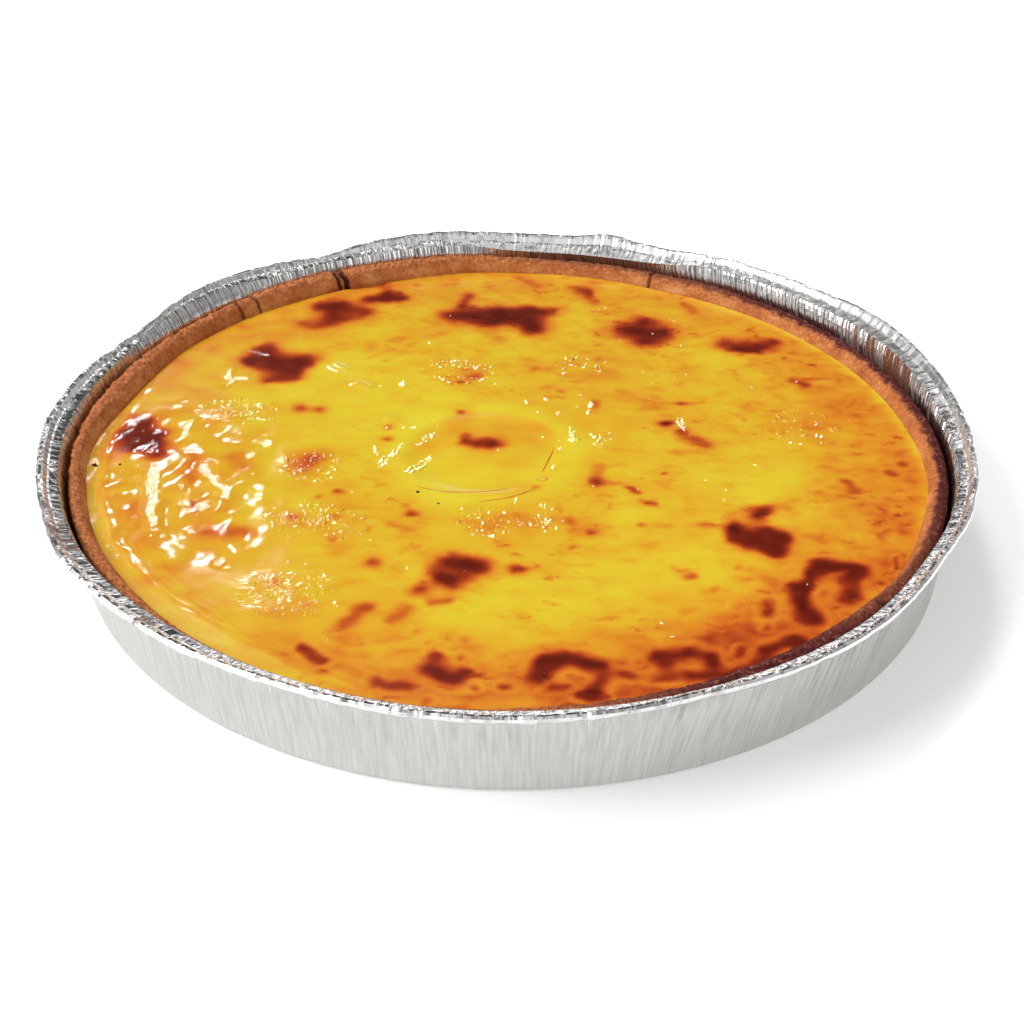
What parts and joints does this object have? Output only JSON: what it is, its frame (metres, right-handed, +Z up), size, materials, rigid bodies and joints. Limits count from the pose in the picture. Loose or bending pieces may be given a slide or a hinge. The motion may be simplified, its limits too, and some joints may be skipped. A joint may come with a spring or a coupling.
{
  "type": "custard tart",
  "caption": "Round baked custard tart with a browned, blistered skin and a short pastry crust, in a shallow foil tin with a crimped, curled rim.",
  "frame": {"origin": "middle of the tin's underside, on the surface that it stands on", "axes": "+Z up out of the tart, +X to the right and -Y towards the viewer as it was pictured"},
  "size_m": [0.267, 0.2683, 0.0326],
  "materials": {
    "foil": "bright crimped foil",
    "pastry": "baked short pastry, dry and finely crumbed",
    "custard": "glossy baked skin with brown scorch marks"
  },
  "bodies": {
    "root": {"foil_tin": "foil", "pastry_shell": "pastry", "custard": "custard"}
  },
  "joints": []
}
